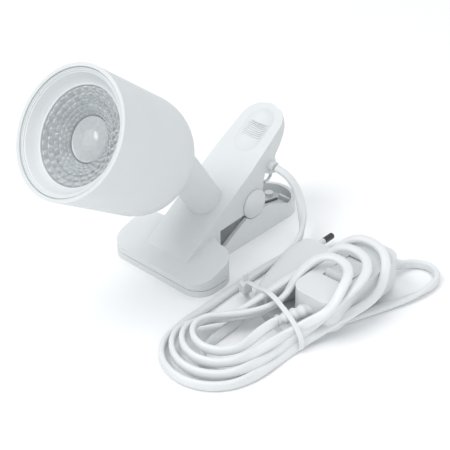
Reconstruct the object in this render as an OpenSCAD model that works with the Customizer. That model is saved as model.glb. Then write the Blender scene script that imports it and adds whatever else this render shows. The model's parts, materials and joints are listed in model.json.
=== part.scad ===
// Clip-on reading lamp: a bell-shaped shade on a swivelling stem, carried by the
// upper lever of a spring clamp, with a tied flat cord, an in-line rocker switch
// and a flat two-pin plug. The lamp lies on its lower lever.
// Origin: on the table, straight below the pivot pin, on the clamp's middle plane.
// X runs across the clamp, +Y from the jaws to the handles, +Z up. Millimetres.

/* [Clamp] */
// Width of the jaws
jaw_w = 76; // [66:1:88]
// Depth of the jaws from front to back
jaw_d = 32; // [28:1:37]
// Corner radius of the jaws
jaw_r = 12; // [9:0.5:13]
// Distance from the pivot pin to the front edge of the jaws
jaw_reach = 69.8; // [65:0.2:82]
// Height of the pivot pin above the table
pivot_h = 25; // [23:0.5:28]
// Width of the lower lever
lower_w = 36; // [34:0.5:44]
// Distance from the pivot pin to the end of the lower lever
lower_reach = 50; // [44:1:58]
// Slope of the upper handle above the table, in degrees
handle_slope = 32.85; // [30:0.5:36]
// Length of the upper handle, up its slope
handle_len = 119.5; // [108:0.5:132]
// Wall thickness of both levers
lever_wall = 2.4; // [2:0.1:2.6]
// Diameter of the pivot pin
pivot_d = 5; // [4:0.25:6]

/* [Stem] */
// Diameter of the stem
stem_d = 21.6; // [18:0.2:22.4]
// Length of the stem from the lever to the tilt hinge
stem_len = 56; // [52:1:66]
// Thickness of the stem's tongue at the tilt hinge
tongue_t = 12; // [10:0.5:13]

/* [Shade] */
// Diameter of the shade at its front rim
shade_d = 72; // [66:0.5:80]
// Length of the shade
shade_len = 80.2; // [76:0.5:90]
// Wall thickness of the shade
shade_wall = 2; // [1.6:0.1:2.4]
// Upward slope of the shade's axis, in degrees
shade_slope = 35.7; // [30:0.1:42]
// Diameter of the opening that the lens sits in
lens_d = 53; // [46:0.5:54]

/* [Cord and plug] */
// Width of the flat cord
cord_w = 5.6; // [4.6:0.2:5.8]
// Thickness of the flat cord
cord_t = 3.4; // [2.8:0.1:3.6]
// Length of the switch housing
switch_len = 66; // [58:1:72]
// Width of the switch housing
switch_w = 29; // [25:0.5:30]
// Height of the switch housing
switch_h = 19.5; // [18:0.5:21]
// Distance between the two plug pins
pin_pitch = 19; // [18:0.5:19]
// Diameter of each plug pin
pin_d = 4; // [3.6:0.1:4.2]

/* [Hidden] */
$fn = 64;

// Clearances
run = 0.05;
gap = 0.4;

// Jaws and levers
jaw_back = -jaw_reach + jaw_d;
jaw_base_t = 4.1;
jaw_under = 4.5;
jaw_top = 8.4;
jaw_slope = 16;
rise_y = jaw_back + 1;
rise_slope = 0.35;
pad_inset = 2.2;
pad_t = 1.65;
pad_high = jaw_under - 0.15 + pad_t;
fillet_r = 8;
floor_t = 2.2;
lower_half = lower_w / 2;
rear_rim = 8.8;
ear_r = 9;
ear_cut_r = 9.8;
upper_half = lower_half - 1.1;
tip_half = 15.3;
lower_ear_x = upper_half - lever_wall - gap;
bend_y = -jaw_reach + 5.8;
taper_v = 75;
skirt_depth = 60;
ridge = [1, lower_reach - 7.6, 10.5, 1.8];
pad_low = jaw_base_t + 0.15 - pad_t;
recess_r = 17.6;
recess_up = 15;
recess_v = handle_len - 20.7;
recess_run = 14;
rib_count = 8;
rib_shift = 1.4;
rib_pitch = 1.37;

// Stem
stem_r = stem_d / 2;
stem_v = 45.85;
stem_bore_r = 7;
spigot_len = 8;
wall_in_stem = 3;
tongue_r = 9;
tongue_from = 11;

// Head: z is the shade's axis towards the light, with the tilt hinge at the origin
shade_r = shade_d / 2;
waist_r = shade_r - 2.2;
waist_s = shade_len - 30.4;
dome = 30.4;
dome_power = 2.27;
dome_steps = 14;
hinge_s = shade_len - 6.1;
axis_drop = 8.6;
slot_half = stem_r + 0.8;
rest_lean = 90 - handle_slope - shade_slope;
lean_min = rest_lean - 22;
lean_max = rest_lean + 46;
lens_r = lens_d / 2;
lens_s = 8;
disc_r = 12.5;
disc_s = 16;
board_s = 22;
sink_s = 24;
plate_s = 41;
bracket_ear_t = 2;
washer_t = 0.4;
bolt_r = 2;

// Cord, plug and switch
cord_r = (cord_w + cord_t) / 4;
hank_x = [56, 112];
hank_y = [-122, 40];
hank_low = 15;
hank_high = 27.5;
hank_step = -56;
loop_at = [110.5, 29];
loop_r = 14;
plug_x = 67;
plug_y = 7.7;
plug_w = pin_pitch + 16;
plug_t = 13.7;
plug_len = 36;
relief_len = 24;
pin_len = 19;
sleeve_len = 10;
pin_z = plug_t / 2;
switch_x = 99.7;
switch_y = -15.8;
switch_z = 4.5;
tie_y = -58;
tie_turn = -16.6;
tie_w = 3;
tie_t = 1.3;

gland_v = 86.7;
gland_n = -13.2;
gland_r = 3.4;
gland_out = 4;

// Places that several pieces share
function slope_point(v, n) = [0, bend_y + v * cos(handle_slope) - n * sin(handle_slope),
  jaw_top + v * sin(handle_slope) + n * cos(handle_slope)];
hinge_at = slope_point(stem_v, stem_len);
gland_at = slope_point(gland_v, gland_n);

// Puts children on the upper handle's face: y up the slope, z out of the face
module on_handle(v = 0, n = 0)
  translate(slope_point(v, n)) rotate([handle_slope, 0, 0]) children();

// Puts children at the tilt hinge, z along the shade's axis towards the light
module at_hinge()
  translate(hinge_at) rotate([90 - shade_slope, 0, 0]) children();

// Puts children on the shade's axis, s behind the front rim, z towards the light
module on_shade(s = 0)
  at_hinge() translate([0, -axis_drop, hinge_s - s]) children();

// Extrudes a side view drawn in Y and Z across X
module across(w, x = 0)
  translate([x, 0, 0]) rotate([90, 0, 90]) linear_extrude(w, center = true) children();

// Outline of a jaw, cut back all round by inset
module jaw_outline(inset = 0) {
  w = jaw_w / 2 - jaw_r;
  y0 = -jaw_reach + jaw_r;
  y1 = jaw_back - jaw_r;
  r = jaw_r - inset;
  for (x = [-w, w], y = [y0, y1]) translate([x, y]) circle(r);
  translate([-w, y0 - r]) square([2 * w, y1 - y0 + 2 * r]);
  translate([-w - r, y0]) square([2 * w + 2 * r, y1 - y0]);
}

// Concave corners between a jaw's back edge and a lever of half width h
module jaw_fillets(h)
  for (m = [0, 1]) mirror([m, 0]) difference() {
    translate([h - 1, jaw_back - 1]) square([fillet_r + 1, fillet_r + 1]);
    translate([h + fillet_r, jaw_back + fillet_r]) circle(fillet_r);
  }

// ---------- Lower lever ----------

module lower_outline(inset = 0) {
  h = lower_half - inset;
  y = lower_reach - lower_half;
  translate([-h, jaw_back - 6]) square([2 * h, y - jaw_back + 6]);
  translate([0, y]) circle(h);
}

module lower_side()
  difference() {
    polygon([[jaw_back - 3, 0], [jaw_back - 3, jaw_base_t], [rise_y, jaw_base_t], [jaw_back + 10.5, 7.4], [-6.2, pivot_h - 6.3],
      [12.9, pivot_h - 6.5], [24.4, rear_rim + 4.4], [34.3, rear_rim], [lower_reach + 1, rear_rim],
      [lower_reach + 1, 0]]);
    translate([0, pivot_h]) circle(ear_cut_r);
  }

module lower_ears()
  for (x = [-1, 1]) across(lever_wall, x * (lower_ear_x - lever_wall / 2)) {
    translate([0, pivot_h]) circle(7);
    polygon([[-15, 1], [-6.8, pivot_h - 1], [6.8, pivot_h - 1], [15, 1]]);
  }

module lower_lever()
  color([0.93, 0.94, 0.94]) difference() {
    union() {
      linear_extrude(jaw_base_t) jaw_outline();
      linear_extrude(jaw_base_t) jaw_fillets(lower_half);
      linear_extrude(floor_t) lower_outline();
      intersection() {
        linear_extrude(pivot_h) difference() {
          lower_outline();
          lower_outline(lever_wall);
        }
        across(lower_w + 2) lower_side();
      }
      lower_ears();
      translate([-6, lower_reach - 9, 0]) cylinder(r = 2.8, h = 5);
      translate([ridge[0], ridge[1], 0]) cube([ridge[2], ridge[3], 5.4]);
    }
    translate([0, 0, pad_low]) linear_extrude(5) jaw_outline(pad_inset);
    translate([-30, 0, pivot_h]) rotate([0, 90, 0]) cylinder(d = pivot_d + 0.02, h = 60);
  }

module lower_pad()
  color([0.86, 0.88, 0.88])
    translate([0, 0, pad_low]) linear_extrude(pad_t) jaw_outline(pad_inset);

module pivot_pin()
  color([0.72, 0.73, 0.75]) translate([0, 0, pivot_h]) rotate([0, 90, 0])
    cylinder(d = pivot_d, h = 2 * upper_half + 5, center = true);

module pivot_cap()
  translate([upper_half + 0.2, 0, pivot_h]) rotate([0, 90, 0]) difference() {
    rotate_extrude() intersection() {
      translate([0, -9.5]) circle(14, $fn = 128);
      square([9.4, 4.6]);
    }
    translate([0, 0, -1]) cylinder(d = pivot_d, h = 3.3);
  }

module pivot_cap_right()
  color([0.94, 0.95, 0.95]) pivot_cap();

module pivot_cap_left()
  color([0.94, 0.95, 0.95]) mirror([1, 0, 0]) pivot_cap();

// A tube through points, with rings of n sides lying across the path
function unit(a) = a / norm(a);
function tangent(p, i) = unit(p[min(i + 1, len(p) - 1)] - p[max(i - 1, 0)]);
function side_of(t, up) = unit(cross(up, t));
module tube(p, r, n, up, flat = 1) {
  rings = [for (i = [0:len(p) - 1])
    let (t = tangent(p, i), s = side_of(t, up), u = cross(t, s))
    for (k = [0:n - 1]) p[i] + r * (flat * cos(360 * k / n) * s + sin(360 * k / n) * u)];
  body = [for (i = [0:len(p) - 2]) for (k = [0:n - 1])
    let (a = i * n + k, b = i * n + (k + 1) % n) [a, a + n, b + n, b]];
  ends = [[for (k = [0:n - 1]) k], [for (k = [n - 1:-1:0]) (len(p) - 1) * n + k]];
  polyhedron(rings, concat(body, ends), convexity = 8);
}

spring_turns = 5;
spring_r = 4.9;
spring_wire = 0.8;
spring_steps = 12;
module torsion_spring() {
  coil = [for (i = [0:spring_turns * spring_steps])
    let (a = 360 * i / spring_steps, x = 9 * (2 * i / (spring_turns * spring_steps) - 1))
    [x, spring_r * cos(a), pivot_h + spring_r * sin(a)]];
  leg_z = floor_t + spring_wire + 0.1;
  low = [[1, lower_reach - 8.6, leg_z], [-1.2, lower_reach - 16, leg_z], [-4.5, 21, leg_z],
    [-6, 17, leg_z + 0.6], [-7.6, 11, 9], [-9, 6, pivot_h - 8]];
  high = [[9, spring_r, pivot_h + 7], [9, 3.4, pivot_h + 13]];
  color([0.6, 0.61, 0.63]) tube(concat(low, coil, high), spring_wire, 8, [1, 0, 0.001]);
}

// ---------- Upper lever ----------

module handle_outline(inset = 0) {
  h = upper_half - inset;
  t = tip_half - inset;
  v = handle_len - tip_half;
  polygon([[-h, 4], [-h, taper_v], [-t, v], [t, v], [h, taper_v], [h, 4]]);
  translate([0, v]) circle(t);
}

module upper_side() {
  polygon([[jaw_back - 21, jaw_under], [jaw_back - 1, jaw_under], [jaw_back + 0.9, jaw_under + 10.5],
    [jaw_back + 6.1, jaw_under + 15], [-8.9, pivot_h - 4.3], [-6.8, pivot_h - 5.9], [6.8, pivot_h - 5.9],
    [8.7, pivot_h + 10.3], [10.7, pivot_h + 16.8], [19.5, pivot_h + 20], [21, pivot_h + 25],
    [25, pivot_h + 29.5], [32.1, pivot_h + 41.3], [60, 130], [jaw_back - 21, 130]]);
  translate([0, pivot_h]) circle(ear_r);
  translate([gland_at[1], gland_at[2]]) circle(gland_r + 1.9);
}

module thumb_recess(r)
  translate([0, recess_v, recess_up]) {
    translate([0, -recess_run / 2, 0]) sphere(r, $fn = 96);
    translate([0, recess_run / 2, 0]) sphere(r, $fn = 96);
    rotate([90, 0, 0]) cylinder(r = r, h = recess_run, center = true, $fn = 96);
  }

module thumb_ribs()
  intersection() {
    difference() {
      thumb_recess(recess_r + 0.3);
      thumb_recess(recess_r - 0.5);
    }
    for (i = [0:rib_count - 1])
      translate([-7.5, recess_v + rib_shift + (i - (rib_count - 1) / 2) * rib_pitch - 0.35, -5])
        cube([15, 0.7, 4.2]);
  }

// Height of the upper jaw's sloping top at y
function jaw_top_at(y) = jaw_top + (y + jaw_reach) * tan(jaw_slope);

module jaw_wedge() {
  y0 = -jaw_reach - 1;
  y1 = jaw_back + fillet_r;
  across(jaw_w + 4) polygon([[y0, jaw_under], [y0, jaw_top_at(y0)], [y1, jaw_top_at(y1)],
    [y1, jaw_under + (y1 - rise_y) * rise_slope], [rise_y, jaw_under]]);
}

module jaw_hollow() {
  y0 = -jaw_reach + 6;
  y1 = jaw_back - lever_wall - 1;
  across(jaw_w + 4) polygon([[y0, pad_high - 0.5], [y0, jaw_top_at(y0) - lever_wall],
    [y1, jaw_top_at(y1) - lever_wall], [y1, pad_high - 0.5]]);
}

module upper_lever()
  color([0.93, 0.94, 0.94]) difference() {
    union() {
      difference() {
        intersection() {
          on_handle() translate([0, 0, -skirt_depth]) linear_extrude(skirt_depth) handle_outline();
          across(jaw_w) upper_side();
        }
        on_handle() translate([0, 0, -skirt_depth - 1]) linear_extrude(skirt_depth + 1 - lever_wall)
          intersection() {
            handle_outline(lever_wall);
            translate([-30, 27]) square([60, 120]);
          }
      }
      intersection() {
        linear_extrude(40) {
          jaw_outline();
          jaw_fillets(upper_half);
        }
        jaw_wedge();
      }
      intersection() {
        on_handle() thumb_recess(recess_r + lever_wall);
        on_handle() translate([-14, 60, -9]) cube([28, 62, 9]);
      }
      on_handle(stem_v, -lever_wall - 3) cylinder(r = stem_bore_r + 3, h = 4);
      at_posts(cover_n + cover_t + 0.05) cylinder(r = 2.6, h = -cover_n - cover_t - 1);
    }
    difference() {
      on_handle() thumb_recess(recess_r);
      on_handle() thumb_ribs();
    }
    linear_extrude(pad_high) jaw_outline(pad_inset);
    intersection() {
      linear_extrude(40) jaw_outline(lever_wall + 1);
      jaw_hollow();
    }
    on_handle(stem_v, -20) cylinder(r = stem_bore_r, h = 30);
    at_posts(cover_n) cylinder(r = 1.1, h = 8.5);
    translate([-30, 0, pivot_h]) rotate([0, 90, 0]) cylinder(r = pivot_d / 2 + run, h = 60);
    translate([0, gland_at[1], gland_at[2]]) rotate([0, 90, 0]) cylinder(r = gland_r, h = 30);
  }

module upper_pad()
  color([0.86, 0.88, 0.88])
    translate([0, 0, pad_high - pad_t]) linear_extrude(pad_t) jaw_outline(pad_inset);

cover_n = -15.6;
cover_t = 1.5;
cover_half = lower_ear_x - lever_wall - 0.7;
post_x = 8.3;
post_v = [-15, 9.5];
module at_posts(n)
  for (x = [-post_x, post_x], v = post_v) on_handle(stem_v + v, n) translate([x, 0, 0]) children();

module wiring_cover()
  color([0.9, 0.91, 0.91]) difference() {
    on_handle(stem_v + post_v[0] - 3, cover_n) translate([-cover_half, 0, 0])
      cube([2 * cover_half, post_v[1] - post_v[0] + 6, cover_t]);
    at_posts(cover_n - 1) cylinder(r = 1.3, h = 9);
  }

module cover_screws()
  color([0.75, 0.76, 0.78]) at_posts(cover_n - 1.4) {
    cylinder(r = 2.4, h = 1.35);
    cylinder(r = 1.1, h = 7.5);
  }

module terminal_block()
  color([0.95, 0.94, 0.9]) on_handle(stem_v + 14, -12) translate([-7.5, 0, 0]) difference() {
    cube([15, 9, 9.6]);
    for (x = [3.75, 11.25]) translate([x, -1, 3]) rotate([-90, 0, 0]) cylinder(r = 1.6, h = 11);
  }

gland_x = upper_half - 1.1;
module cord_gland()
  color([0.93, 0.94, 0.94]) translate([gland_x, gland_at[1], gland_at[2]]) rotate([0, 90, 0]) difference() {
    union() {
      translate([0, 0, -8]) cylinder(r = gland_r - 0.02, h = 8 + gland_out);
      translate([0, 0, -lever_wall - 1.6]) cylinder(r = gland_r + 1.2, h = 1.5);
    }
    translate([0, 0, -9]) cylinder(r = cord_r + 0.1, h = 9 + gland_out - 1);
  }

hook_r = 5;
hook_wire = 0.95;
module cord_hook()
  color([0.93, 0.94, 0.94]) translate([10, 0, 0]) {
    translate([0, gland_at[1] + 3.2, gland_at[2] - gland_r - 1.4 - hook_r]) rotate([0, 90, 0]) difference() {
      rotate_extrude() translate([hook_r, 0]) circle(hook_wire, $fn = 24);
      translate([hook_r / 2 - 4, -12, -3]) cube([12, 10, 6]);
    }
    translate([0, gland_at[1], gland_at[2]]) rotate([0, 90, 0]) difference() {
      cylinder(r = gland_r + 1.9, h = 1.9, center = true);
      cylinder(r = gland_r, h = 4, center = true);
    }
  }

// ---------- Stem ----------

module stem_side() {
  translate([-stem_r, 0]) square([stem_d, stem_len - stem_r]);
  translate([0, stem_len]) circle(tongue_r);
  translate([-tongue_r, stem_len - stem_r - 1]) square([2 * tongue_r, stem_r + 1]);
}

lead_r = 1.3;
lead_y = 6;
module stem()
  color([0.94, 0.95, 0.95]) on_handle(stem_v, run) difference() {
    union() {
      intersection() {
        cylinder(r = stem_r, h = stem_len + stem_r);
        across(stem_d + 1) stem_side();
      }
      translate([0, 0, -spigot_len]) cylinder(r = stem_bore_r - run, h = spigot_len + 1);
    }
    for (x = [-1, 1]) translate([x * (tongue_t / 2 + 10), 0, stem_len - tongue_from + 15])
      cube([20, 30, 30], center = true);
    translate([0, 0, -spigot_len - 1]) cylinder(r = 4, h = spigot_len + 8);
    translate([0, 0, wall_in_stem]) cylinder(r = stem_r - wall_in_stem, h = stem_len - 21);
    translate([0, lead_y, stem_len - 20]) cylinder(r = lead_r + 0.4, h = 40);
    translate([-20, 0, stem_len]) rotate([0, 90, 0]) cylinder(r = bolt_r + run, h = 40);
    translate([0, 0, -spigot_len + 0.6]) difference() {
      cylinder(r = stem_bore_r + 1, h = 1.1);
      translate([0, 0, -1]) cylinder(r = stem_bore_r - 1.2, h = 3);
    }
  }

module stem_washer()
  color([0.72, 0.73, 0.75]) on_handle(stem_v, -lever_wall - 3 - 0.75) difference() {
    cylinder(r = stem_bore_r + 2.6, h = 0.7);
    translate([0, 0, -1]) cylinder(r = stem_bore_r + 0.1, h = 3);
  }

module stem_circlip()
  color([0.72, 0.73, 0.75]) on_handle(stem_v, run - spigot_len + 0.65) difference() {
    cylinder(r = stem_bore_r + 1.8, h = 1);
    translate([0, 0, -1]) cylinder(r = stem_bore_r - 1.15, h = 3);
    translate([-1.5, 0, -1]) cube([3, 20, 3]);
  }

module stem_wires()
  color([0.85, 0.85, 0.86]) on_handle(stem_v, run)
    tube([[0, 0, -spigot_len - 2], [0, 0, 4], [0, 1.2, 16], [0, 3.4, 24], [0, 5.4, 31],
      [0, lead_y, 36], [0, lead_y, stem_len + 5]], lead_r, 10, [1, 0, 0]);

// ---------- Head ----------

function dome_point(r, c, i) = let (a = 90 * i / dome_steps)
  [r * pow(cos(a), 2 / dome_power), -waist_s - c * pow(sin(a), 2 / dome_power)];
function bell(w) = [for (i = [0:dome_steps]) dome_point(waist_r - w, dome - w, i)];
function reversed(p) = [for (i = [len(p) - 1:-1:0]) p[i]];

// Side view of the space the stem sweeps in the shade, seen along the hinge bolt
module stem_sweep() {
  reach = 50;
  w = slot_half;
  a0 = lean_min - 1;
  a1 = lean_max + 1;
  spread = atan(w / reach);
  far = norm([w, reach]);
  polygon(concat([[w * cos(a0), -w * sin(a0)]],
    [for (i = [0:12]) let (a = a0 - spread + (a1 - a0 + 2 * spread) * i / 12) [-far * sin(a), -far * cos(a)]],
    [[-w * cos(a1), w * sin(a1)]]));
}

module shade()
  color([0.95, 0.96, 0.96]) difference() {
    on_shade() rotate_extrude($fn = 128)
      polygon(concat([[shade_r - shade_wall, 0], [shade_r, 0]], bell(0),
        reversed(bell(shade_wall))));
    at_hinge() across(2 * slot_half) stem_sweep();
  }

module front_ring()
  color([0.95, 0.96, 0.96]) on_shade() rotate_extrude($fn = 128)
    polygon([[shade_r - shade_wall - 0.1, -1], [shade_r - shade_wall - 1.3, -1],
      [shade_r - shade_wall - 1.3, -1.6], [shade_r - shade_wall - 2.4, -1.6],
      [shade_r - shade_wall - 2.4, -2.3], [lens_r, -lens_s], [lens_r, -lens_s - 2],
      [shade_r - shade_wall - 2.2, -lens_s - 2], [shade_r - shade_wall - 0.6, -lens_s - 2]]);

module lens()
  color([0.82, 0.85, 0.86, 0.6]) on_shade() rotate_extrude($fn = 128)
    polygon([[lens_r + 1.6, -lens_s - 2], [lens_r - 0.8, -lens_s - 2], [lens_r - 0.8, -lens_s - 0.6],
      [disc_r + 0.05, -disc_s], [disc_r + 0.05, -disc_s - 3.4], [disc_r + 3, -disc_s - 3.4],
      [lens_r + 1.6, -lens_s - 4.4]]);

module lens_disc()
  color([0.85, 0.88, 0.9, 0.6]) on_shade(disc_s + 2) cylinder(r = disc_r, h = 2);

module lens_holder()
  color([0.93, 0.94, 0.94]) on_shade() rotate_extrude($fn = 128)
    polygon([[lens_r + 1.65, -lens_s - 2.05], [lens_r + 3.8, -lens_s - 2.05], [lens_r + 3.8, -board_s - 1.6],
      [lens_r - 5.5, -board_s - 1.6], [lens_r - 5.5, -board_s + 1], [lens_r + 1.65, -board_s + 1]]);

module led_board()
  color([0.92, 0.92, 0.9]) on_shade(board_s + 1.6) cylinder(r = 20, h = 1.6);

module led_chip()
  color([0.95, 0.85, 0.4]) on_shade(board_s) cylinder(r = 6, h = 1.1);

module heat_sink()
  color([0.78, 0.79, 0.8]) {
    on_shade(sink_s + 2.6) cylinder(r = waist_r - shade_wall - 0.1, h = 2.95);
    on_shade(plate_s - 0.05) cylinder(r = 11, h = plate_s - sink_s - 1);
    for (i = [0:15]) on_shade(plate_s - 2) rotate(22.5 * i)
      translate([10, -0.6, 0]) cube([18, 1.2, plate_s - sink_s - 4]);
  }

module driver_board()
  color([0.2, 0.45, 0.3]) on_shade(plate_s + 16) translate([-12, -24.5, 0]) cube([24, 1.6, 15.6]);

module driver_capacitor()
  color([0.25, 0.26, 0.3]) on_shade(plate_s + 13) translate([4, -18.5, 0]) cylinder(r = 4.2, h = 10.5);

bracket_in = tongue_t / 2 + washer_t + run;
module tilt_bracket()
  color([0.72, 0.73, 0.75]) difference() {
    union() {
      on_shade(plate_s + 2) translate([-bracket_in - bracket_ear_t, -9, 0])
        cube([2 * (bracket_in + bracket_ear_t), 24, 1.95]);
      for (x = [-1, 1]) at_hinge() across(bracket_ear_t, x * (bracket_in + bracket_ear_t / 2)) {
        circle(5.8);
        translate([-5.8, 0]) square([11.6, hinge_s - plate_s - 1]);
      }
    }
    at_hinge() rotate([0, 90, 0]) cylinder(r = bolt_r + 0.02, h = 60, center = true);
    for (x = [-5, 5]) on_shade(plate_s + 5) translate([x, -5, 0]) cylinder(r = 1.6, h = 8);
  }

module bracket_screws()
  color([0.75, 0.76, 0.78]) for (x = [-5, 5]) on_shade(plate_s + 4) translate([x, -5, 0]) {
    cylinder(r = 2.6, h = 1.95);
    cylinder(r = 1.5, h = 3.9);
  }

module hinge_bolt()
  color([0.75, 0.76, 0.78]) at_hinge() rotate([0, 90, 0]) {
    translate([0, 0, -bracket_in - bracket_ear_t - 2.2]) cylinder(r = 3.6, h = 2.15);
    translate([0, 0, -bracket_in - bracket_ear_t - 0.1])
      cylinder(r = bolt_r, h = 2 * bracket_in + 2 * bracket_ear_t + 3.6);
  }

module hinge_nut()
  color([0.75, 0.76, 0.78]) at_hinge() translate([bracket_in + bracket_ear_t + 0.05, 0, 0])
    rotate([0, 90, 0]) difference() {
    cylinder(r = 4, h = 3.1, $fn = 6);
    translate([0, 0, -1]) cylinder(r = bolt_r + 0.02, h = 6);
  }

module friction_washers()
  color([0.7, 0.71, 0.73]) for (x = [-1, 1]) at_hinge()
    translate([x * (tongue_t + washer_t + run) / 2, 0, 0]) rotate([0, 90, 0]) difference() {
      cylinder(r = 4.5, h = washer_t - run / 2, center = true);
      cylinder(r = bolt_r + 0.05, h = 3, center = true);
    }

// ---------- Cord, tie, plug and switch ----------

// Route of the cord from the gland to the hank
free_route = [[gland_x + gland_out + 0.08, gland_at[1], gland_at[2]],
  [gland_x + gland_out + 1.7, gland_at[1], gland_at[2]],
  [gland_x + gland_out + 3.4, gland_at[1] + 0.1, gland_at[2] - 0.1], [28, 19.8, 40.6], [33, 21, 33.5],
  [37, 20, 26.6], [41, 17.6, 19.2], [43.6, 15.4, 12], [45.4, 11, 6], [46, 3, 3], [45.4, -8, cord_r + 0.1],
  [44.6, -20, cord_r + 0.1], [45.4, -31, cord_r + 0.1], [49.6, -38, cord_r + 0.1],
  [hank_x[0], -42, cord_r + 0.1]];
function blend_point(a, b, c, d, t) = 0.5 * (2 * b + (c - a) * t + (2 * a - 5 * b + 4 * c - d) * t * t
  + (3 * b - a - 3 * c + d) * t * t * t);
function smooth(p, n) = concat([for (i = [0:len(p) - 2]) for (k = [0:n - 1])
  blend_point(p[max(i - 1, 0)], p[i], p[i + 1], p[min(i + 2, len(p) - 1)], k / n)], [p[len(p) - 1]]);
module cord_free()
  color([0.95, 0.96, 0.96]) tube(smooth(free_route, 2), cord_r, 10, [1, 0.3, 0.9]);

module hank_outline(inset, y0, y1) {
  r = (hank_x[1] - hank_x[0]) / 2 - inset;
  x = (hank_x[0] + hank_x[1]) / 2;
  r0 = (hank_x[1] - hank_x[0]) / 2;
  for (y = [y0 + r0, y1 - r0]) translate([x, y]) circle(r);
  translate([x - r, y0 + r0]) square([2 * r, y1 - y0 - 2 * r0]);
}

module plug_outline(grow = 0) {
  w = plug_w / 2 + grow;
  translate([plug_x, plug_y + grow])
    polygon([[-w, 0], [-w, -16], [-w + 5, -27], [-8 - grow, -plug_len - grow],
      [8 + grow, -plug_len - grow], [w - 5, -27], [w, -16], [w, 0]]);
}

module switch_outline(grow = 0) {
  w = switch_w / 2 + grow;
  h = switch_len / 2 + grow;
  r = 9;
  translate([switch_x, switch_y]) {
    for (x = [-w + r, w - r], y = [-h + r, h - r]) translate([x, y]) circle(r);
    translate([-w, -h + r]) square([2 * w, 2 * h - 2 * r]);
    translate([-w + r, -h]) square([2 * w - 2 * r, 2 * h]);
  }
}

module tie_box(w, inset)
  translate([(hank_x[0] + hank_x[1]) / 2, tie_y, 0]) rotate(tie_turn)
    translate([-29.4 + inset, -w / 2, inset]) cube([58.8 - 2 * inset, w, hank_low + 1.2 - 2 * inset]);

module cord_hank()
  color([0.95, 0.96, 0.96]) difference() {
    union() {
      difference() {
        union() {
          linear_extrude(hank_low) hank_outline(0, hank_y[0], hank_y[1]);
          linear_extrude(hank_high) hank_outline(2, hank_step, hank_y[1] - 2);
          linear_extrude(2 * cord_r) translate(loop_at) circle(loop_r);
        }
        tie_box(tie_w + 0.4, -3);
      }
      tie_box(tie_w + 1, tie_t);
    }
    translate([0, 0, -1]) linear_extrude(plug_t + 1.3) plug_outline(0.3);
    translate([plug_x, plug_y - plug_len + 1, pin_z]) rotate([90, 0, 0]) cylinder(r = 6, h = relief_len + 1);
    for (x = [-1, 1]) translate([plug_x + x * pin_pitch / 2, plug_y, pin_z])
      rotate([-90, 0, 0]) cylinder(r = pin_d / 2 + 0.3, h = pin_len + 1);
    translate([0, 0, switch_z - 0.3]) linear_extrude(switch_h + 0.6) switch_outline(0.3);
    translate([switch_x - 10, switch_y - 15, switch_z + 2]) cube([20, 30, 40]);
  }

module cable_tie()
  color([0.94, 0.95, 0.95]) {
    difference() {
      tie_box(tie_w, 0);
      tie_box(tie_w + 6, tie_t);
    }
    translate([(hank_x[0] + hank_x[1]) / 2, tie_y, 0]) rotate(tie_turn) {
      translate([-34.4, -3.2, 4]) cube([5.1, 6.4, 7]);
      translate([-32.8, -tie_w / 2, 10.9]) cube([1.3, tie_w, 5]);
    }
  }

module plug_body()
  color([0.94, 0.95, 0.95]) difference() {
    intersection() {
      linear_extrude(plug_t) plug_outline();
      translate([plug_x, 0, 0]) across(plug_w + 2) polygon([[plug_y + 1, 0], [plug_y + 1, plug_t],
        [plug_y - 16, plug_t], [plug_y - plug_len - 1, plug_t - 3], [plug_y - plug_len - 1, 3], [plug_y - 16, 0]]);
    }
    for (x = [-1, 1]) translate([plug_x + x * pin_pitch / 2, plug_y - 12, pin_z])
      rotate([-90, 0, 0]) cylinder(r = pin_d / 2, h = 20);
  }

module plug_relief()
  color([0.94, 0.95, 0.95]) translate([plug_x, plug_y - plug_len, pin_z]) rotate([90, 0, 0]) difference() {
    cylinder(r1 = 5.6, r2 = 3.6, h = relief_len);
    for (i = [0:4]) translate([0, 0, 3 + 4 * i]) difference() {
      cylinder(r = 8, h = 1.4);
      translate([0, 0, -1]) cylinder(r = 3.2, h = 4);
    }
  }

module plug_pins()
  color([0.75, 0.72, 0.6]) for (x = [-1, 1]) translate([plug_x + x * pin_pitch / 2, plug_y - 12, pin_z])
    rotate([-90, 0, 0]) {
      cylinder(r = pin_d / 2 - 0.35, h = 12 + sleeve_len);
      translate([0, 0, 12 + sleeve_len]) cylinder(r = pin_d / 2, h = pin_len - sleeve_len - 1);
      translate([0, 0, 11 + pin_len]) cylinder(r1 = pin_d / 2, r2 = pin_d / 2 - 0.8, h = 1);
    }

module pin_sleeves()
  color([0.93, 0.94, 0.94]) for (x = [-1, 1]) translate([plug_x + x * pin_pitch / 2, plug_y - 11.9, pin_z])
    rotate([-90, 0, 0]) difference() {
      cylinder(r = pin_d / 2 - 0.01, h = 11.9 + sleeve_len);
      translate([0, 0, -1]) cylinder(r = pin_d / 2 - 0.34, h = 30);
    }

rocker_len = 24;
rocker_w = 15;
rocker_tip = 8;
axle_z = switch_z + switch_h - 5.5;
split_z = switch_z + 9;
top_z = switch_z + switch_h;
module rocker_well(grow)
  translate([switch_x - rocker_w / 2 - grow, switch_y - rocker_len / 2 - grow, 0])
    cube([rocker_w + 2 * grow, rocker_len + 2 * grow, 60]);

module switch_base()
  color([0.94, 0.95, 0.95]) difference() {
    translate([0, 0, switch_z]) linear_extrude(split_z - switch_z) switch_outline();
    translate([0, 0, switch_z + 1.8]) linear_extrude(switch_h) switch_outline(-1.8);
    at_switch_screws(switch_z - 1) cylinder(r = 1.3, h = 9);
    at_switch_screws(switch_z - 1) cylinder(r = 2.5, h = 2);
  }

module at_switch_screws(z)
  for (y = [-1, 1]) translate([switch_x, switch_y + y * (switch_len / 2 - 9), z]) children();

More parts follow.
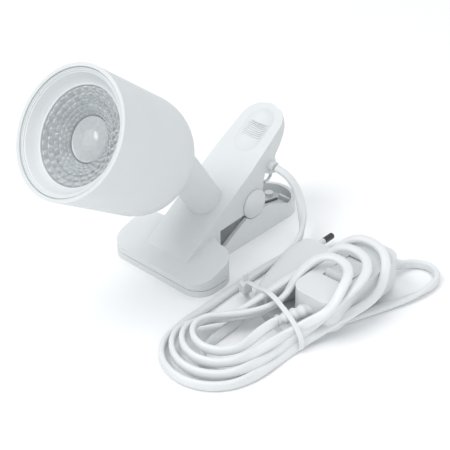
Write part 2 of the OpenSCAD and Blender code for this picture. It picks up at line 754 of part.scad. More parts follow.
module switch_top()
  color([0.94, 0.95, 0.95]) difference() {
    union() {
      difference() {
        translate([0, 0, split_z + 0.05]) linear_extrude(top_z - split_z - 0.05) switch_outline();
        translate([0, 0, split_z - 1]) linear_extrude(switch_h - 10) switch_outline(-1.8);
      }
      at_switch_screws(switch_z + 1.9) cylinder(r = 3, h = switch_h - 3);
      for (x = [-1, 1]) translate([switch_x + x * (rocker_w / 2 + 1.6) - 1.2, switch_y - 4, split_z + 1])
        cube([2.4, 8, top_z - split_z - 2]);
    }
    translate([0, 0, split_z - 3]) rocker_well(0.35);
    at_switch_screws(switch_z) cylinder(r = 1.2, h = 12);
    translate([switch_x, switch_y, axle_z]) rotate([0, 90, 0])
      cylinder(r = 1.52, h = rocker_w + 6, center = true);
  }

module switch_rocker()
  color([0.9, 0.91, 0.92]) translate([switch_x, switch_y, axle_z]) rotate([-rocker_tip, 0, 0]) difference() {
    across(rocker_w) difference() {
      polygon([[-11, 1], [-10.6, 6.4], [10.6, 6.4], [11, 1], [5, -3], [-5, -3]]);
      translate([0, 36.2]) circle(31, $fn = 128);
    }
    rotate([0, 90, 0]) cylinder(r = 1.5 + run, h = 30, center = true);
  }

module rocker_axle()
  color([0.75, 0.76, 0.78]) translate([switch_x, switch_y, axle_z]) rotate([0, 90, 0])
    cylinder(r = 1.5, h = rocker_w + 5, center = true);

module switch_screws()
  color([0.75, 0.76, 0.78]) {
    at_switch_screws(switch_z - 0.1) cylinder(r = 2.2, h = 1.05);
    at_switch_screws(switch_z) cylinder(r = 1.15, h = 11);
  }

lower_lever();
lower_pad();
pivot_pin();
pivot_cap_right();
pivot_cap_left();
torsion_spring();
upper_lever();
upper_pad();
wiring_cover();
cover_screws();
terminal_block();
cord_gland();
cord_hook();
stem();
stem_washer();
stem_circlip();
stem_wires();
shade();
front_ring();
lens();
lens_disc();
lens_holder();
led_board();
led_chip();
heat_sink();
driver_board();
driver_capacitor();
tilt_bracket();
bracket_screws();
hinge_bolt();
hinge_nut();
friction_washers();
cord_free();
cord_hank();
cable_tie();
plug_body();
plug_relief();
pin_sleeves();
plug_pins();
switch_base();
switch_top();
switch_rocker();
rocker_axle();
switch_screws();
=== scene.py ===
"""Clip-on reading lamp: looks, light and camera. Metres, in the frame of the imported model."""

import json
import math

import bmesh
import bpy
from mathutils import Euler, Matrix, Vector, kdtree


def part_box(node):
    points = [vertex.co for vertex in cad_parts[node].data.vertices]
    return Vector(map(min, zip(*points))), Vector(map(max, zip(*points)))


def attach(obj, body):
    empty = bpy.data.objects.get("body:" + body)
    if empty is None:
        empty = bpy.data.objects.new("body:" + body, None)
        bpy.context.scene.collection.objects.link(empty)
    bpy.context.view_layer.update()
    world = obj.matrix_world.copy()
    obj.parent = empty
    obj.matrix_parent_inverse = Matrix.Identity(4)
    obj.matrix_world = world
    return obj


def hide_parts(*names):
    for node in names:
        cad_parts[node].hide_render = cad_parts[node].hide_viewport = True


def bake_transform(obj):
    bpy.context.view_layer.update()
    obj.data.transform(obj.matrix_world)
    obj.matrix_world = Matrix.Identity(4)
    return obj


MM = 0.001

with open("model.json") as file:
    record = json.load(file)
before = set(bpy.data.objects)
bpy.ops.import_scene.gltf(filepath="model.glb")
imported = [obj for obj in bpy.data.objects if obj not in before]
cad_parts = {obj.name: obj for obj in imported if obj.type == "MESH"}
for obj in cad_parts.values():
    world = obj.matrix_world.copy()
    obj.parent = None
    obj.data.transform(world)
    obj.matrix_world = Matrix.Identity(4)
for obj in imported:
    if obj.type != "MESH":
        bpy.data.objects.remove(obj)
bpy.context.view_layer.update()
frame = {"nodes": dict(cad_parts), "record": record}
NODES = frame["nodes"]
JOINTS = {j["name"]: j for j in frame["record"]["behaviour"]["joints"]}

# The head's place and direction: its hinge is a joint of the record
HINGE = Vector(JOINTS["head_tilt"]["pos_m"])
SHADE_SLOPE = math.radians(35.7)
SHADE_AXIS = Vector((0, -math.cos(SHADE_SLOPE), math.sin(SHADE_SLOPE)))
SHADE_UP = Vector((0, math.sin(SHADE_SLOPE), math.cos(SHADE_SLOPE)))
HINGE_FROM_RIM = 74.1 * MM
AXIS_DROP = 8.6 * MM
RIM_CENTRE = HINGE + SHADE_AXIS * HINGE_FROM_RIM - SHADE_UP * AXIS_DROP
HEAD = Matrix((Vector((1, 0, 0)), SHADE_UP, SHADE_AXIS)).transposed().to_4x4()
HEAD.translation = RIM_CENTRE

CORD_W = 5.6 * MM
CORD_T = 3.4 * MM


# ---------- Camera, light and table ----------


def set_camera():
    azimuth, elevation, roll = math.radians(43.0), math.radians(33.36), math.radians(-0.6)
    target = Vector((0.01484, -0.0235, 0.020))
    distance = 0.6345
    back = Vector(
        (
            math.sin(azimuth) * math.cos(elevation),
            -math.cos(azimuth) * math.cos(elevation),
            math.sin(elevation),
        )
    )
    data = bpy.data.cameras.new("camera")
    data.sensor_fit = "HORIZONTAL"
    data.angle = math.radians(23.84)
    data.clip_start = 0.05
    camera = bpy.data.objects.new("camera", data)
    camera.location = target + back * distance
    turn = back.to_track_quat("Z", "Y").to_matrix() @ Euler((0, 0, roll)).to_matrix()
    camera.rotation_euler = turn.to_euler()
    bpy.context.collection.objects.link(camera)
    bpy.context.scene.camera = camera


def area_light(name, at, size, power, aim=(0.0, -0.03, 0.04)):
    data = bpy.data.lights.new(name, "AREA")
    data.shape = "DISK"
    data.size = size
    data.energy = power
    light = bpy.data.objects.new(name, data)
    light.location = at
    light.rotation_euler = (Vector(at) - Vector(aim)).to_track_quat("Z", "Y").to_euler()
    bpy.context.collection.objects.link(light)


def set_light():
    world = bpy.data.worlds.new("world")
    world.use_nodes = True
    world.node_tree.nodes["Background"].inputs["Color"].default_value = (0.96, 0.98, 1.0, 1)
    world.node_tree.nodes["Background"].inputs["Strength"].default_value = 0.74
    bpy.context.scene.world = world
    area_light("key", (-0.3, -0.75, 1.15), 0.8, 7.2)
    area_light("fill", (1.0, -0.5, 0.6), 0.9, 2.4)
    area_light("top", (-0.1, 0.3, 1.3), 0.8, 2.6)
    bpy.context.scene.view_settings.view_transform = "Standard"


def make_table():
    mesh = bpy.data.meshes.new("table")
    side = 30.0
    mesh.from_pydata(
        [(-side, -side, 0), (side, -side, 0), (side, side, 0), (-side, side, 0)], [], [(0, 1, 2, 3)]
    )
    table = bpy.data.objects.new("table", mesh)
    bpy.context.collection.objects.link(table)
    material = bpy.data.materials.new("table_paper")
    material.use_nodes = True
    shader = material.node_tree.nodes["Principled BSDF"]
    shader.inputs["Base Color"].default_value = (0.93, 0.935, 0.94, 1)
    shader.inputs["Roughness"].default_value = 0.9
    mesh.materials.append(material)


# ---------- Materials ----------


def new_material(name):
    material = bpy.data.materials.new(name)
    material.use_nodes = True
    tree = material.node_tree
    return material, tree, tree.nodes["Principled BSDF"]


def noise(tree, scale, detail=4.0):
    where = tree.nodes.new("ShaderNodeTexCoord")
    texture = tree.nodes.new("ShaderNodeTexNoise")
    texture.inputs["Scale"].default_value = scale
    texture.inputs["Detail"].default_value = detail
    tree.links.new(where.outputs["Object"], texture.inputs["Vector"])
    return texture


def mottle(tree, shader, colour, spread, scale):
    """Varies the base colour a little over the surface."""
    texture = noise(tree, scale)
    ramp = tree.nodes.new("ShaderNodeValToRGB")
    low = [c * (1 - spread) for c in colour]
    high = [min(1.0, c * (1 + spread)) for c in colour]
    ramp.color_ramp.elements[0].position = 0.3
    ramp.color_ramp.elements[1].position = 0.7
    ramp.color_ramp.elements[0].color = (*low, 1)
    ramp.color_ramp.elements[1].color = (*high, 1)
    tree.links.new(texture.outputs["Fac"], ramp.inputs["Fac"])
    tree.links.new(ramp.outputs["Color"], shader.inputs["Base Color"])


def rough_range(tree, shader, low, high, scale):
    texture = noise(tree, scale)
    spread = tree.nodes.new("ShaderNodeMapRange")
    spread.inputs["To Min"].default_value = low
    spread.inputs["To Max"].default_value = high
    tree.links.new(texture.outputs["Fac"], spread.inputs["Value"])
    tree.links.new(spread.outputs["Result"], shader.inputs["Roughness"])


def grain(tree, shader, scale, depth, strength=0.5, detail=2.0):
    """Fine bumps, as spark-eroded or cast surfaces have."""
    texture = noise(tree, scale, detail)
    bump = tree.nodes.new("ShaderNodeBump")
    bump.inputs["Strength"].default_value = strength
    bump.inputs["Distance"].default_value = depth
    tree.links.new(texture.outputs["Fac"], bump.inputs["Height"])
    tree.links.new(bump.outputs["Normal"], shader.inputs["Normal"])


def plastic(name, colour, rough, bump_scale, bump_depth, strength=0.5, soft=0.04):
    material, tree, shader = new_material(name)
    mottle(tree, shader, colour, 0.012, 45)
    rough_range(tree, shader, rough - 0.05, rough + 0.07, 220)
    grain(tree, shader, bump_scale, bump_depth, strength)
    shader.inputs["IOR"].default_value = 1.5
    shader.inputs["Subsurface Weight"].default_value = soft
    shader.inputs["Subsurface Radius"].default_value = (0.002, 0.002, 0.002)
    shader.inputs["Subsurface Scale"].default_value = 0.6
    return material


def metal(name, colour, rough, brush=900.0):
    material, tree, shader = new_material(name)
    mottle(tree, shader, colour, 0.06, 160)
    rough_range(tree, shader, rough - 0.08, rough + 0.1, 500)
    grain(tree, shader, brush, 0.00003, 0.35)
    shader.inputs["Metallic"].default_value = 1.0
    return material


def clear_lens(name, colour, spread, scale):
    """Moulded clear lens plastic, mostly opaque, with glints from its coat. Its grey base colour is
    painted shade: the dark inside of the lamp seen through the clear plastic.
    """
    material, tree, shader = new_material(name)
    mottle(tree, shader, colour, spread, scale)
    rough_range(tree, shader, 0.08, 0.22, 300)
    shader.inputs["IOR"].default_value = 1.49
    shader.inputs["Coat Weight"].default_value = 0.6
    shader.inputs["Coat Roughness"].default_value = 0.05
    shader.inputs["Transmission Weight"].default_value = 0.15
    return material


def board(name, colour):
    material, tree, shader = new_material(name)
    mottle(tree, shader, colour, 0.08, 380)
    rough_range(tree, shader, 0.3, 0.45, 400)
    grain(tree, shader, 1500, 0.00002)
    return material


WHITE = (0.665, 0.69, 0.695)
MATERIALS = {
    "white_plastic": plastic("white_plastic", WHITE, 0.46, 1300, 0.00014, 0.42),
    "gloss_white": plastic("gloss_white", (0.68, 0.70, 0.705), 0.32, 420, 0.00005, 0.25),
    "rocker_plastic": plastic("rocker_plastic", (0.71, 0.73, 0.74), 0.28, 500, 0.00004, 0.2),
    "pad_rubber": plastic("pad_rubber", (0.62, 0.64, 0.64), 0.72, 1500, 0.00012),
    "tie_nylon": plastic("tie_nylon", (0.72, 0.735, 0.735), 0.4, 700, 0.00006),
    "terminal_nylon": plastic("terminal_nylon", (0.78, 0.76, 0.68), 0.45, 700, 0.00006),
    "cord_pvc": plastic("cord_pvc", (0.72, 0.74, 0.745), 0.36, 260, 0.00008, 0.3),
    "capacitor_sleeve": plastic("capacitor_sleeve", (0.05, 0.055, 0.07), 0.35, 500, 0.00004, 0.2, 0.0),
    "phosphor": plastic("phosphor", (0.78, 0.66, 0.25), 0.5, 900, 0.00008),
    "zinc_steel": metal("zinc_steel", (0.6, 0.61, 0.63), 0.34),
    "spring_steel": metal("spring_steel", (0.2, 0.21, 0.22), 0.38),
    "aluminium_cast": metal("aluminium_cast", (0.68, 0.69, 0.7), 0.45, 600),
    "pin_brass": metal("pin_brass", (0.1, 0.105, 0.11), 0.25, 500),
    "board_white": board("board_white", (0.8, 0.8, 0.77)),
    "board_green": board("board_green", (0.06, 0.26, 0.13)),
    # Painted shade: the clear lens takes grey base colours, darker on the facet ring than on the
    # centre disc, for the dark lamp inside seen through it
    "lens_clear": clear_lens("lens_clear", (0.40, 0.43, 0.44), 0.1, 260),
    "lens_disc_clear": clear_lens("lens_disc_clear", (0.58, 0.61, 0.62), 0.05, 500),
}


def smooth_by_angle(obj, degrees=32):
    """Smooth faces, with sharp edges where the surface turns more than this."""
    mesh = obj.data
    for face in mesh.polygons:
        face.use_smooth = True
    shape = bmesh.new()
    shape.from_mesh(mesh)
    limit = math.radians(degrees)
    for edge in shape.edges:
        edge.smooth = len(edge.link_faces) == 2 and edge.calc_face_angle(0.0) < limit
    shape.to_mesh(mesh)
    shape.free()


def new_piece(name, mesh, slot, body, smooth=32, replaces=()):
    piece = bpy.data.objects.new(name, mesh)
    bpy.context.collection.objects.link(piece)
    mesh.materials.append(MATERIALS[slot])
    if smooth:
        smooth_by_angle(piece, smooth)
    if body:
        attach(piece, body)
    if replaces:
        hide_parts(*replaces)
    return piece


def dress_nodes():
    """Every CAD node that stays in view takes its slot's material."""
    for part in frame["record"]["subparts"]:
        node = NODES.get(part["node"])
        if node is None:
            continue
        node.data.materials.clear()
        node.data.materials.append(MATERIALS[part["material_slot"]])


# ---------- Shapes shared by several pieces ----------


def catmull(points, steps):
    """A smooth line through points."""
    points = [Vector(p) for p in points]
    line = []
    for i in range(len(points) - 1):
        a = points[max(i - 1, 0)]
        b, c = points[i], points[i + 1]
        d = points[min(i + 2, len(points) - 1)]
        for k in range(steps):
            t = k / steps
            line.append(
                0.5
                * (
                    2 * b
                    + (c - a) * t
                    + (2 * a - 5 * b + 4 * c - d) * t * t
                    + (3 * b - a - 3 * c + d) * t**3
                )
            )
    line.append(points[-1])
    return line


def even(line, gap):
    """The same line with points a fixed distance apart."""
    out, left = [line[0]], gap
    for a, b in zip(line, line[1:]):
        length = (b - a).length
        while length > left:
            a = a + (b - a).normalized() * left
            out.append(a)
            length -= left
            left = gap
        left -= length
    if (out[-1] - line[-1]).length > gap * 0.4:
        out.append(line[-1])
    else:
        out[-1] = line[-1]
    return out


def relax(line, rounds):
    for _ in range(rounds):
        line = (
            [line[0]]
            + [(a + b * 2 + c) / 4 for a, b, c in zip(line, line[1:], line[2:])]
            + [line[-1]]
        )
    return line


def twin_outline(sides=20):
    """Section of a flat twin cord: two round cores side by side with a shallow groove."""
    core = CORD_T / 2
    apart = (CORD_W - CORD_T) / 2
    outline = []
    for i in range(sides):
        a = 2 * math.pi * i / sides
        x = core * math.cos(a) + apart * (1 if math.cos(a) > 0 else -1) * min(1, abs(math.cos(a)) * 3)
        y = core * math.sin(a)
        y *= 1 - 0.07 * math.exp(-((x / (0.5 * MM)) ** 2))
        outline.append((x, y))
    return outline


def sweep(name, line, outline, widths):
    """A mesh tube of this outline along line. widths are the directions its width lies in."""
    mesh = bpy.data.meshes.new(name)
    shape = bmesh.new()
    rings = []
    for i, p in enumerate(line):
        t = (line[min(i + 1, len(line) - 1)] - line[max(i - 1, 0)]).normalized()
        wide = (widths[i] - t * widths[i].dot(t)).normalized()
        thin = t.cross(wide)
        rings.append([shape.verts.new(p + wide * x + thin * y) for x, y in outline])
    n = len(outline)
    for a, b in zip(rings, rings[1:]):
        for k in range(n):
            shape.faces.new((a[k], a[(k + 1) % n], b[(k + 1) % n], b[k]))
    shape.faces.new(list(reversed(rings[0])))
    shape.faces.new(rings[-1])
    bmesh.ops.recalc_face_normals(shape, faces=shape.faces)
    shape.to_mesh(mesh)
    shape.free()
    return mesh


def turned(name, profile, matrix, sides=128, arc=2 * math.pi):
    """A solid of revolution about Z from a closed profile of (radius, height)."""
    mesh = bpy.data.meshes.new(name)
    shape = bmesh.new()
    rings = []
    for i in range(sides):
        a = arc * i / sides
        rings.append([shape.verts.new((r * math.cos(a), r * math.sin(a), z)) for r, z in profile])
    n = len(profile)
    for i in range(sides):
        a, b = rings[i], rings[(i + 1) % sides]
        for k in range(n):
            shape.faces.new((a[k], b[k], b[(k + 1) % n], a[(k + 1) % n]))
    bmesh.ops.remove_doubles(shape, verts=shape.verts, dist=1e-7)
    bmesh.ops.recalc_face_normals(shape, faces=shape.faces)
    shape.transform(matrix)
    shape.to_mesh(mesh)
    shape.free()
    return mesh


# ---------- Cord ----------

# Route from the handle down to the table, close to the CAD model's, and then to the first fold (mm)
FREE_ROUTE = [
    (20, 16, 44.4),
    (23, 16, 44.3),
    (28, 19.8, 40.6),
    (33, 21, 33.5),
    (37, 20, 26.6),
    (41, 17.6, 19.2),
    (43.6, 15.4, 12),
    (45.4, 11, 6),
    (46, 3, 3),
    (45.4, -8, 2),
    (44.6, -20, 2),
    (44.6, -40, 2),
    (45, -60, 2),
    (46, -80, 2.5),
]
# From the far end of the switch round the loose loop, under the switch, and back to the plug (mm)
PLUG_ROUTE = [
    (104, 30, 5),
    (106, 38, 3),
    (113, 44, 3),
    (122, 43, 3),
    (128, 36, 3),
    (129, 26, 3),
    (126, 14, 2.5),
    (121, 0, 2),
    (115, -16, 2),
    (109, -32, 2),
    (103, -48, 2),
    (99, -64, 2),
    (98, -80, 2),
    (97, -96, 2),
    (92, -107, 2),
    (83, -112, 2),
    (74, -108, 2),
    (68, -98, 2),
    (67, -84, 2),
    (67, -70, 4),
    (67, -60, 6.2),
    (67, -51, 6.9),
]

# The hank: folds at the table end and at the switch end, each turn inside the last (mm)
TURN_COUNT = 4
NEAR_X, NEAR_END, NEAR_R = 75.0, -126.0, 29.0
FAR_X, FAR_END, FAR_R = 96.5, 10.0, 22.5
WAIST_Y = -62.0
FOLD_STEP = 4.0
LEVEL_STEP = 3.6


def fold(x, y, radius, start):
    """Seven places round half a circle, counter-clockwise from this angle."""
    turns = [math.radians(start + 30 * i) for i in range(7)]
    return [(x + radius * math.cos(a), y + radius * math.sin(a)) for a in turns]


def hank_places():
    """Plan of the winding, with the turn that each place belongs to."""
    places = []
    for n in range(TURN_COUNT):
        radius = NEAR_R - FOLD_STEP * n
        near_y = NEAR_END + 5.5 * n + radius
        places += [(x, y, n) for x, y in fold(NEAR_X + 0.5 * n, near_y, radius, 180)]
        if n == TURN_COUNT - 1:
            break
        places.append((105 - 2 * n, WAIST_Y, n))
        radius = FAR_R - 3 * n
        far_y = FAR_END - 15 * n - radius
        places.append((FAR_X + radius, far_y - 12, n))
        places += [(x, y, n) for x, y in fold(FAR_X, far_y, radius, 0)]
        places.append((75 + 2 * n + 4 * (-1) ** n, WAIST_Y + 6, n + 0.5))
        places.append((64 + 3 * n, WAIST_Y - 14, n + 0.8))
    return places


def outside(x, y, lo, hi):
    """How far a place lies outside the round-ended outline that fills this box (mm)."""
    half = (hi.x - lo.x) / 2
    y_near = min(max(y, lo.y + half), hi.y - half)
    return max(0.0, math.hypot(x - (lo.x + hi.x) / 2, y - y_near) - half)


SOLIDS_UNDER = (
    (("switch_top", "switch_base", "switch_rocker"), 9.0),
    (("plug_body", "plug_relief"), 12.0),
)


def drape(x, y, level):
    """Height of a strand here (mm): on the table, or lying over the switch or the plug."""
    height = 2.9 + LEVEL_STEP * level
    for names, reach in SOLIDS_UNDER:
        boxes = [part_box(name) for name in names]
        lo = Vector([min(b[0][i] for b in boxes) for i in range(3)]) / MM
        hi = Vector([max(b[1][i] for b in boxes) for i in range(3)]) / MM
        t = min(1.0, outside(x, y, lo, hi) / reach)
        share = 1 - t * t * (3 - 2 * t)
        over = hi.z + 2.6 + 2 * level
        height = max(height, height + (over - height) * share)
    return height


def winding():
    """The turns of the hank as route points, ending at the near relief of the switch."""
    route = []
    for x, y, level in hank_places():
        route.append((x, y, drape(x, y, level)))
    route += [(91, -84, 13.6), (91, -74, 13.7), (92, -66, 13.8)]
    return route


# Clearance between strands (mm), and how many points along a strand count as its neighbours
STRAND_APART = 4.3
NEIGHBOURS = 14
# No strand's centre lies lower than this (mm)
STRAND_FLOOR = 1.9


def settle(lines, rounds=40):
    """Pushes strands apart where they come closer than a clearance, mostly upwards."""
    apart = STRAND_APART * MM
    fixed = [{0, 1, 2, 3, len(line) - 1, len(line) - 2, len(line) - 3} for line in lines]
    for _ in range(rounds):
        count = sum(len(line) for line in lines)
        tree = kdtree.KDTree(count)
        owner = []
        for which, line in enumerate(lines):
            for i, p in enumerate(line):
                tree.insert(p, len(owner))
                owner.append((which, i))
        tree.balance()
        moved = []
        for which, line in enumerate(lines):
            fresh = []
            for i, p in enumerate(line):
                shift = Vector((0, 0, 0))
                for q, index, gap in tree.find_range(p, apart):
                    other, k = owner[index]
                    if other == which and abs(k - i) < NEIGHBOURS:
                        continue
                    away = p - q
                    away.z *= 3
                    if away.length < 1e-7:
                        away = Vector((0, 0, 1 if index < len(owner) / 2 else -1))
                    shift += away.normalized() * (apart - gap) * 0.25
                if i in fixed[which]:
                    shift = Vector((0, 0, 0))
                fresh.append(p + shift.normalized() * min(shift.length, 0.8 * MM))
            moved.append(relax(fresh, 1))
        lines = moved
        for line in lines:
            for p in line:
                p.z = max(p.z, STRAND_FLOOR * MM)
    return lines


def route_line(route):
    return relax(even(catmull([Vector(p) * MM for p in route], 8), 1.5 * MM), 3)


def width_directions(line):
    """The width stands on edge in the bends and lies flat over the switch and at the waist."""
    widths = []
    for i, p in enumerate(line):
        t = (line[min(i + 1, len(line) - 1)] - line[max(i - 1, 0)]).normalized()
        flat = Vector((0, 0, 1)).cross(t)
        if flat.length < 0.05:
            flat = Vector((0, 1, 0))
        flat.normalize()
        before = line[max(i - 6, 0)]
        after = line[min(i + 6, len(line) - 1)]
        bend = ((after - p).normalized() - (p - before).normalized()).length
        low = 1 - min(1.0, max(0.0, (p.z / MM - 14) / 8))
        angle = min(1.0, bend / 0.28) * low * math.pi / 2
        wide = flat * math.cos(angle) + t.cross(flat) * math.sin(angle)
        if widths and wide.dot(widths[-1]) < 0:
            wide = -wide
        widths.append(wide)
    for _ in range(24):
        widths = (
            [widths[0]]
            + [(a + b + c) / 3 for a, b, c in zip(widths, widths[1:], widths[2:])]
            + [widths[-1]]
        )
    return widths


def lay_cord(name, placed, body, replaces=()):
    widths = width_directions(placed)
    mesh = sweep(name, placed, twin_outline(), widths)
    cord = new_piece(name, mesh, "cord_pvc", body, 60, replaces)
    if body is None:
        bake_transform(cord)
    length = sum((b - a).length for a, b in zip(placed, placed[1:]))
    return length


# ---------- Strain reliefs, tie ----------


def ribbed_relief(name, start, direction, length, r0, r1, body, ribs=5):
    """A tapered sleeve with rounded ribs, lying along direction."""
    profile = [(0.0, 0.0)]
    steps = ribs * 6
    for i in range(steps + 1):
        t = i / steps
        r = r0 + (r1 - r0) * t
        groove = 0.5 - 0.5 * math.cos(2 * math.pi * ribs * t)
        profile.append((r - 0.9 * MM * groove * (1 if 0.06 < t < 0.94 else 0.3), t * length))
    profile.append((0.0, length))
    turn = direction.normalized().to_track_quat("Z", "Y").to_matrix().to_4x4()
    turn.translation = start
    mesh = turned(name, profile, turn, 40)
    return new_piece(name, mesh, "gloss_white", body, 40)


def tie_strap():
    """The flat nylon strap drawn tight round the hank, its head and its short tail."""
    lo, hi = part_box("cable_tie")
    centre = Vector((84.0, -58.0, 0)) * MM
    turn = math.radians(-16.6)
    along = Vector((math.cos(turn), math.sin(turn), 0))
    up = Vector((0, 0, 1))
    route = [
        (-30.6, 9.6),
        (-27.0, 13.4),
        (-18.0, 15.4),
        (-10.0, 18.6),
        (-2.0, 19.4),
        (6.0, 18.2),
        (14.0, 16.2),
        (20.0, 13.4),
        (24.4, 9.2),
        (25.4, 4.6),
        (23.6, 1.2),
        (18.0, 0.8),
        (0.0, 0.8),
        (-22.0, 0.8),
        (-28.6, 1.4),
        (-31.0, 4.6),
        (-30.6, 9.0),
    ]
    line = even(catmull([centre + along * a * MM + up * z * MM for a, z in route], 8), 1.2 * MM)
    across = along.cross(up)
    outline = []
    for x, y in ((-1.5, -0.5), (1.5, -0.5), (1.5, 0.5), (-1.5, 0.5)):
        outline.append((x * MM, y * MM))
    mesh = sweep("tie_strap", line, outline, [across] * len(line))
    strap = new_piece("tie_strap", mesh, "tie_nylon", "lower", 40, ["cable_tie"])
    bevel(strap, 0.25 * MM)
    head_at = centre + along * -31.2 * MM + up * 8.0 * MM
    head = rounded_block("tie_head", (5.4, 6.0, 6.6), head_at, turn, 0.8, "tie_nylon", "lower")
    tail_at = centre + along * -32.6 * MM + across * -1.0 * MM
    tail_line = [tail_at + Vector((0, 0, z)) * MM for z in (4.0, 7.0, 10.0, 13.0, 15.6)]
    mesh = sweep("tie_tail", tail_line, outline, [across] * len(tail_line))
    new_piece("tie_tail", mesh, "tie_nylon", "lower", 40)
    return strap, head


def rounded_block(name, size, at, turn, radius, slot, body):
    """A block with rounded edges and corners (mm), turned about Z."""
    mesh = bpy.data.meshes.new(name)
    shape = bmesh.new()
    bmesh.ops.create_cube(shape, size=1.0)
    for vert in shape.verts:
        vert.co = Vector((vert.co.x * size[0], vert.co.y * size[1], vert.co.z * size[2])) * MM
    bmesh.ops.bevel(
        shape, geom=shape.edges[:], offset=radius * MM, segments=4, profile=0.5, affect="EDGES"
    )
    shape.transform(Matrix.Translation(at) @ Matrix.Rotation(turn, 4, "Z"))
    shape.to_mesh(mesh)
    shape.free()
    return new_piece(name, mesh, slot, body, 40)


def bevel(obj, width, segments=2, angle=35):
    modifier = obj.modifiers.new("soft_edges", "BEVEL")
    modifier.width = width
    modifier.segments = segments
    modifier.limit_method = "ANGLE"
    modifier.angle_limit = math.radians(angle)
    modifier.harden_normals = False


# ---------- Lamp head ----------


def front_ring():
    """The bezel inside the rim: a thin lip, two fine steps, then a smooth slope to the lens."""
    outer = 33.88
    profile = [
        (outer, -1.2),
        (33.3, -0.55),
        (32.9, -0.6),
        (32.75, -1.1),
        (32.15, -1.2),
        (31.95, -1.75),
        (31.4, -1.95),
        (31.1, -2.5),
    ]
    slope = [(31.1 - 4.5 * t, -2.5 - 5.4 * math.sin(t * math.pi / 2)) for t in (0.2, 0.4, 0.6, 0.8, 1)]
    profile += slope + [(26.5, -8.5), (26.5, -9.9), (31.8, -9.9), (33.35, -9.9)]
    mesh = turned("bezel_ring", [(r * MM, z * MM) for r, z in profile], HEAD, 144)
    ring = new_piece("bezel_ring", mesh, "white_plastic", "head", 24, ["front_ring"])
    return ring


LENS_ROWS = (26.3, 23.2, 20.3, 17.8, 15.8, 14.2, 12.7)


def lens_depth(r):
    """Depth of the lens face behind the rim at radius r (mm)."""
    t = (r - 12.6) / (26.3 - 12.6)
    return -16.0 + 7.4 * t**0.8


def facetted_lens():
    """The clear lens: rows of small domed facets round a flat disc."""
    mesh = bpy.data.meshes.new("lens_facets")
    shape = bmesh.new()
    cells = 4
    columns = 30
    for row, (r0, r1) in enumerate(zip(LENS_ROWS, LENS_ROWS[1:])):
        bulge = 1.5 if row < 3 else 0.9
        for c in range(columns):
            start = (c + 0.5 * (row % 2)) * 2 * math.pi / columns
            grid = []
            for i in range(cells + 1):
                u = i / cells
                r = r0 + (r1 - r0) * u
                for k in range(cells + 1):
                    v = k / cells
                    a = start + v * 2 * math.pi / columns
                    lift = bulge * (1 - (2 * u - 1) ** 2) * (1 - (2 * v - 1) ** 2)
                    point = Vector((r * math.cos(a), r * math.sin(a), lens_depth(r) + lift))
                    grid.append(shape.verts.new(point * MM))
            n = cells + 1
            for i in range(cells):
                for k in range(cells):
                    a = i * n + k
                    shape.faces.new((grid[a], grid[a + 1], grid[a + n + 1], grid[a + n]))
    rim = [(26.3, -8.6), (28.0, -10.1), (28.0, -12.4), (15.5, -19.3), (12.7, -19.3), (12.7, -16.0)]
    for (ra, za), (rb, zb) in zip(rim, rim[1:]):
        rings = []
        for r, z in ((ra, za), (rb, zb)):
            ring = []
            for c in range(columns):
                a = c * 2 * math.pi / columns
                ring.append(shape.verts.new(Vector((r * math.cos(a), r * math.sin(a), z)) * MM))
            rings.append(ring)
        for c in range(columns):
            d = (c + 1) % columns
            shape.faces.new((rings[0][c], rings[0][d], rings[1][d], rings[1][c]))
    bmesh.ops.remove_doubles(shape, verts=shape.verts, dist=2e-6)
    bmesh.ops.recalc_face_normals(shape, faces=shape.faces)
    shape.transform(HEAD)
    shape.to_mesh(mesh)
    shape.free()
    return new_piece("lens_facets", mesh, "lens_clear", "head", 40, ["lens"])


def lens_centre():
    """The flat disc in the middle, with a raised ring and fine concentric steps."""
    profile = [(0.0, -17.9), (12.4, -17.9), (12.45, -15.9), (11.9, -15.5), (11.4, -15.9)]
    steps = 9
    for i in range(steps):
        r = 11.2 - i * 0.62
        profile += [(r, -15.95), (r - 0.12, -15.8), (r - 0.42, -15.8), (r - 0.54, -15.95)]
    profile += [(5.2, -15.9), (4.6, -15.5), (2.4, -15.35), (0.0, -15.3)]
    mesh = turned("lens_centre", [(r * MM, z * MM) for r, z in profile], HEAD, 96)
    return new_piece("lens_centre", mesh, "lens_disc_clear", "head", 30, ["lens_disc"])


# ---------- Plug ----------

# Half width and height along the plug, from its pin face back (mm)
PLUG_SHAPE = (
    (0.0, 15.9, 12.3),
    (0.7, 17.0, 13.4),
    (6.0, 17.6, 13.7),
    (14.0, 18.0, 13.7),
    (20.0, 17.2, 13.5),
    (27.0, 15.2, 13.1),
    (36.0, 12.8, 12.2),
    (46.0, 9.8, 10.8),
    (54.0, 6.4, 9.0),
    (58.5, 4.4, 7.4),
)


def plug_section(half, height, power=3.4, sides=40):
    section = []
    for i in range(sides):
        a = 2 * math.pi * i / sides
        x = half * math.copysign(abs(math.cos(a)) ** (2 / power), math.cos(a))
        z = height / 2 * math.copysign(abs(math.sin(a)) ** (2 / power), math.sin(a))
        section.append((x, z))
    return section


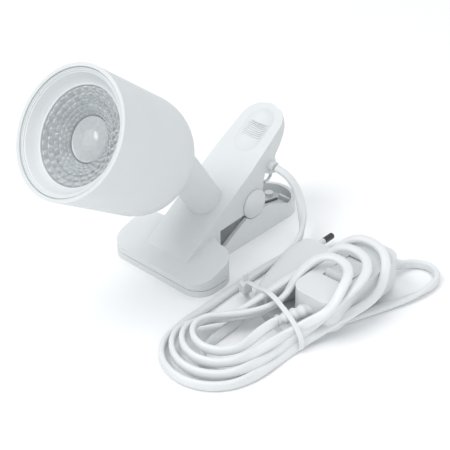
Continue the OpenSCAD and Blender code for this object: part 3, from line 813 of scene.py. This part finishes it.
def plug():
    """The flat moulded plug with finger ribs on its sides, drawn out into its strain relief."""
    lo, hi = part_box("plug_body")
    centre_x = (lo.x + hi.x) / 2
    mesh = bpy.data.meshes.new("plug_moulding")
    shape = bmesh.new()
    line = catmull([Vector((-s, half, height)) for s, half, height in PLUG_SHAPE], 8)
    rings = []
    for along, half, height in line:
        back = -along
        if 21 < back < 38:
            half -= 0.55 * (0.5 - 0.5 * math.cos(2 * math.pi * (back - 21) / 3.4))
        ring = []
        for x, z in plug_section(half, height):
            z_mid = 13.7 / 2 + 0.02
            ring.append(shape.verts.new((centre_x + x * MM, hi.y - back * MM, (z_mid + z) * MM)))
        rings.append(ring)
    for a, b in zip(rings, rings[1:]):
        n = len(a)
        for k in range(n):
            shape.faces.new((a[k], a[(k + 1) % n], b[(k + 1) % n], b[k]))
    shape.faces.new(rings[0])
    shape.faces.new(list(reversed(rings[-1])))
    bmesh.ops.recalc_face_normals(shape, faces=shape.faces)
    shape.to_mesh(mesh)
    shape.free()
    return new_piece(
        "plug_moulding", mesh, "gloss_white", "lower", 40, ["plug_body", "plug_relief"]
    )


# ---------- Build ----------

# Edge radius of the moulded CAD pieces that show (mm)
SOFT_EDGES = {
    "shade": 0.7,
    "upper_lever": 0.5,
    "lower_lever": 0.5,
    "stem": 0.5,
    "switch_top": 1.6,
    "switch_base": 1.2,
    "switch_rocker": 0.5,
    "lower_pad": 0.3,
    "upper_pad": 0.3,
    "pivot_cap_right": 0.3,
    "pivot_cap_left": 0.3,
    "tilt_bracket": 0.3,
    "hinge_nut": 0.2,
}

set_camera()
set_light()
make_table()

switch_lo, switch_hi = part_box("switch_base")

switch_relief_near = ribbed_relief(
    "switch_relief_near",
    Vector((0.0985, switch_lo.y + 0.002, 0.0138)),
    Vector((-0.35, -1, 0)),
    20.5 * MM,
    4.6 * MM,
    3.1 * MM,
    "lower",
    4,
)
switch_relief_far = ribbed_relief(
    "switch_relief_far",
    Vector((0.1015, switch_hi.y - 0.006, 0.0115)),
    Vector((0.12, 1, -0.34)),
    20.5 * MM,
    4.6 * MM,
    3.1 * MM,
    "lower",
    4,
)
dress_nodes()
front_ring()
facetted_lens()
lens_centre()
plug_piece = plug()
for node, width in SOFT_EDGES.items():
    bevel(NODES[node], width * MM)
strap, head = tie_strap()
lamp_line, plug_line = settle([route_line(FREE_ROUTE + winding()), route_line(PLUG_ROUTE)])
lamp_length = lay_cord(
    "cord_lamp_to_switch",
    lamp_line,
    None,
    ["cord_hank", "cord_free"],
)
plug_length = lay_cord(
    "cord_switch_to_plug",
    plug_line,
    "lower",
)
print("cord lengths", round(lamp_length, 3), round(plug_length, 3))
